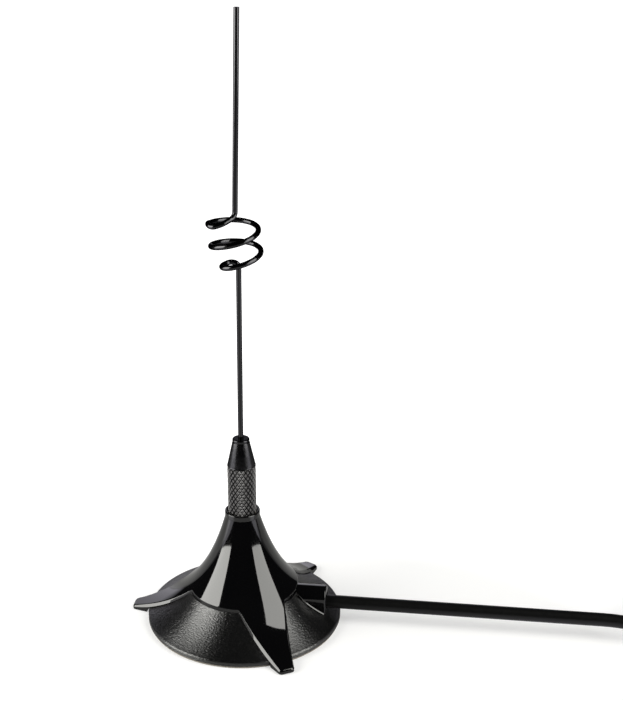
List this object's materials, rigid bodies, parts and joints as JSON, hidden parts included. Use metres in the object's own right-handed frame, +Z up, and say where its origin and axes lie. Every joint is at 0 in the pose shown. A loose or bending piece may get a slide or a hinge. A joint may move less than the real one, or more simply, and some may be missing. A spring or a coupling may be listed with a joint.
{
  "type": "magnetic mount whip antenna",
  "caption": "Magnetic mount antenna: trumpet-shaped base with tongue fins, knurled collar, wire whip bent into a phasing coil, coaxial cable with a screw-on plug.",
  "frame": {"origin": "on the axis of the base, on the surface that it stands on", "axes": "+Z up along the whip, +X along the cable where it leaves the hood of the cover"},
  "size_m": [0.2965, 0.1103, 0.2239],
  "materials": {
    "cover": "glossy black moulding",
    "skirt": "grained satin black moulding",
    "pad": "thin soft sheet",
    "ferrite": "sintered, matt",
    "plated_steel": "zinc plated",
    "brass": "turned",
    "ferrule": "black plated, diamond knurl",
    "whip": "glossy black coated spring wire",
    "cable": "satin black jacket",
    "dielectric": "natural",
    "conductor": "bare copper",
    "tie": "black woven strap",
    "plug": "nickel plated",
    "plug_insulator": "moulded"
  },
  "bodies": {
    "antenna": {"base_pad": "pad", "skirt": "skirt", "magnet": "ferrite", "magnet_cup": "plated_steel", "cover_screws": "plated_steel", "cover": "cover", "contact_stud": "brass", "stud_washer": "plated_steel", "solder_tag": "brass", "stud_nut": "brass", "whip_ferrule": "ferrule", "whip": "whip", "dielectric": "dielectric", "inner_conductor": "conductor", "folded_braid": "conductor", "cable_saddle": "plated_steel", "saddle_screws": "plated_steel", "cable": "cable", "cable_coil": "cable", "coil_ties": "tie", "cable_tail": "cable", "plug_sleeve": "plug", "plug_body": "plug", "plug_insulator": "plug_insulator", "plug_pin": "plug"},
    "ring": {"coupling_ring": "plug"}
  },
  "joints": [
    {"name": "ring_turn", "type": "hinge", "parent": "antenna", "child": "ring", "pos_m": [0.245, 0.0576, 0.0093], "axis": [0, 1, 0], "continuous": true}
  ]
}
